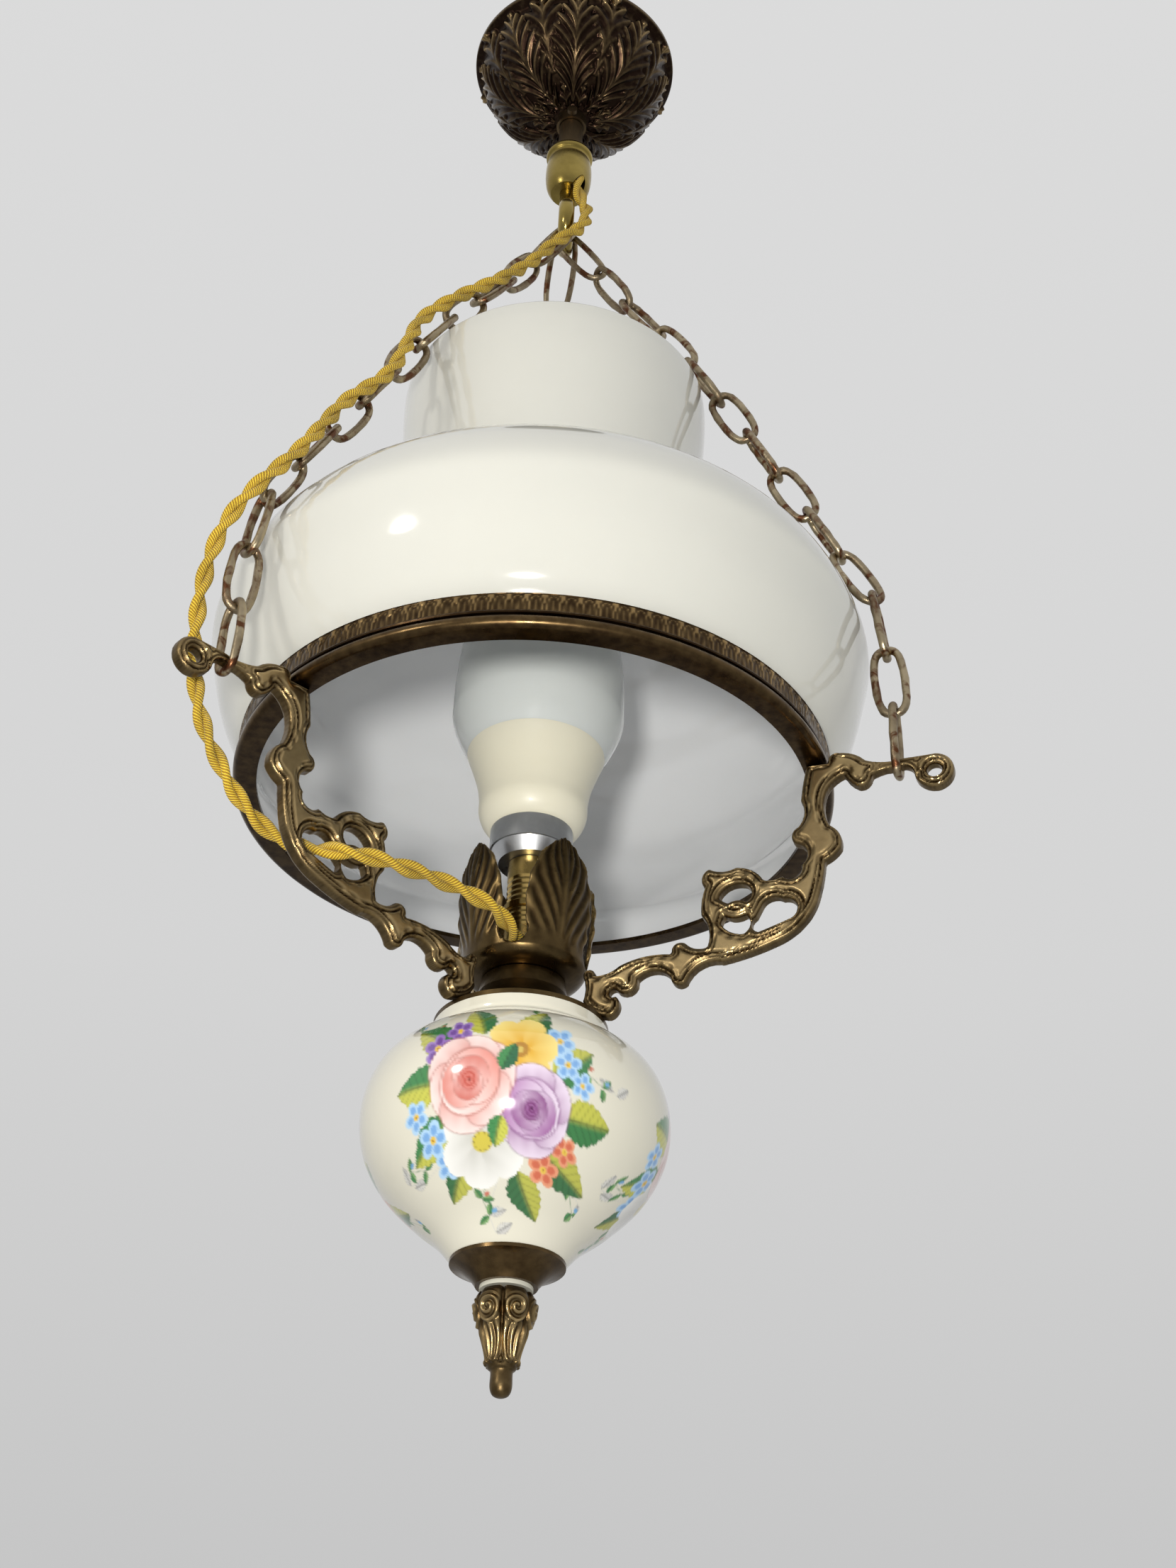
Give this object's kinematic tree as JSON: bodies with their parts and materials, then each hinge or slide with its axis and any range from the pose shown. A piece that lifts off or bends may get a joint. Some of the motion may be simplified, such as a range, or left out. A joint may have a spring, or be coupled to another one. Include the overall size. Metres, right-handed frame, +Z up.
{
  "type": "pendant light",
  "caption": "Hanging lamp: a ring with three scrolled arms on chains carries an opal glass dome, a lampholder with its lamp, and a painted porcelain drop with a finial.",
  "frame": {"origin": "on the ceiling plane, on the axis of the ceiling hook's shank, which is the lamp's own axis", "axes": "+Z up into the ceiling; the lamp hangs along -Z; the lamp's right arm points 20.6 degrees towards -Y from +X, and -Y is the side in the picture"},
  "size_m": [0.3047, 0.313, 0.7564],
  "materials": {
    "steel": "satin",
    "yellow_brass": "polished, worn",
    "dark_brass": "patinated bronze colour, embossed",
    "cast_brass": "cast, aged",
    "chain_metal": "brass plated, aged, with rust",
    "opal_glass": "glossy opal white",
    "porcelain": "glazed cream porcelain with painted flowers",
    "gasket": "matt",
    "white_plastic": "matt",
    "black_glass": "glossy",
    "aluminium": "satin",
    "cream_plastic": "satin",
    "milky_glass": "frosted",
    "silk_cord": "twisted silk braid"
  },
  "bodies": {
    "ceiling": {"ceiling_hook": "steel"},
    "stem": {"stem_loop": "yellow_brass", "stem_tube": "yellow_brass", "hook_knob": "yellow_brass", "chain_hook": "yellow_brass", "cord_top": "silk_cord"},
    "canopy": {"canopy": "dark_brass", "canopy_collar": "dark_brass", "collar_screw": "steel", "terminal_block": "white_plastic", "terminal_screws": "steel"},
    "lamp": {"chain_right": "chain_metal", "chain_left": "chain_metal", "chain_back": "chain_metal", "arm_right": "cast_brass", "arm_left": "cast_brass", "arm_back": "cast_brass", "gallery_ring": "dark_brass", "leaf_cup": "cast_brass", "cup_neck": "cast_brass", "porcelain_body": "porcelain", "bottom_cup": "dark_brass", "bottom_gasket": "gasket", "finial": "dark_brass", "threaded_rod": "yellow_brass", "cup_nut": "yellow_brass", "lampholder_body": "yellow_brass", "lampholder_ring": "yellow_brass", "lampholder_collars": "yellow_brass", "lampholder_base": "yellow_brass", "lampholder_core": "white_plastic", "lampholder_sleeve": "yellow_brass", "lampholder_contact": "yellow_brass", "cord": "silk_cord"},
    "shade": {"glass_shade": "opal_glass"},
    "bulb": {"lamp_cap": "aluminium", "lamp_cap_insulator": "black_glass", "lamp_cap_contact": "aluminium", "lamp_collar": "aluminium", "lamp_base": "cream_plastic", "lamp_board": "aluminium", "lamp_globe": "milky_glass"}
  },
  "joints": [
    {"name": "stem_swing", "type": "hinge", "parent": "ceiling", "child": "stem", "pos_m": [0, 0, -0.0245], "axis": [1, 0, 0], "range_deg": [-5, 5]},
    {"name": "canopy_slide", "type": "slide", "parent": "stem", "child": "canopy", "axis": [0, 0, 1], "range_m": [-0.0225, 0]},
    {"name": "lamp_swing", "type": "hinge", "parent": "stem", "child": "lamp", "pos_m": [0, 0, -0.139], "axis": [0, 1, 0], "range_deg": [-12, 12], "deforming": ["cord_top"]},
    {"name": "shade_turn", "type": "hinge", "parent": "lamp", "child": "shade", "pos_m": [0, 0, -0.48], "axis": [0, 0, 1], "continuous": true},
    {"name": "bulb_turn", "type": "hinge", "parent": "lamp", "child": "bulb", "pos_m": [0, 0, -0.5], "axis": [0, 0, 1], "continuous": true}
  ]
}
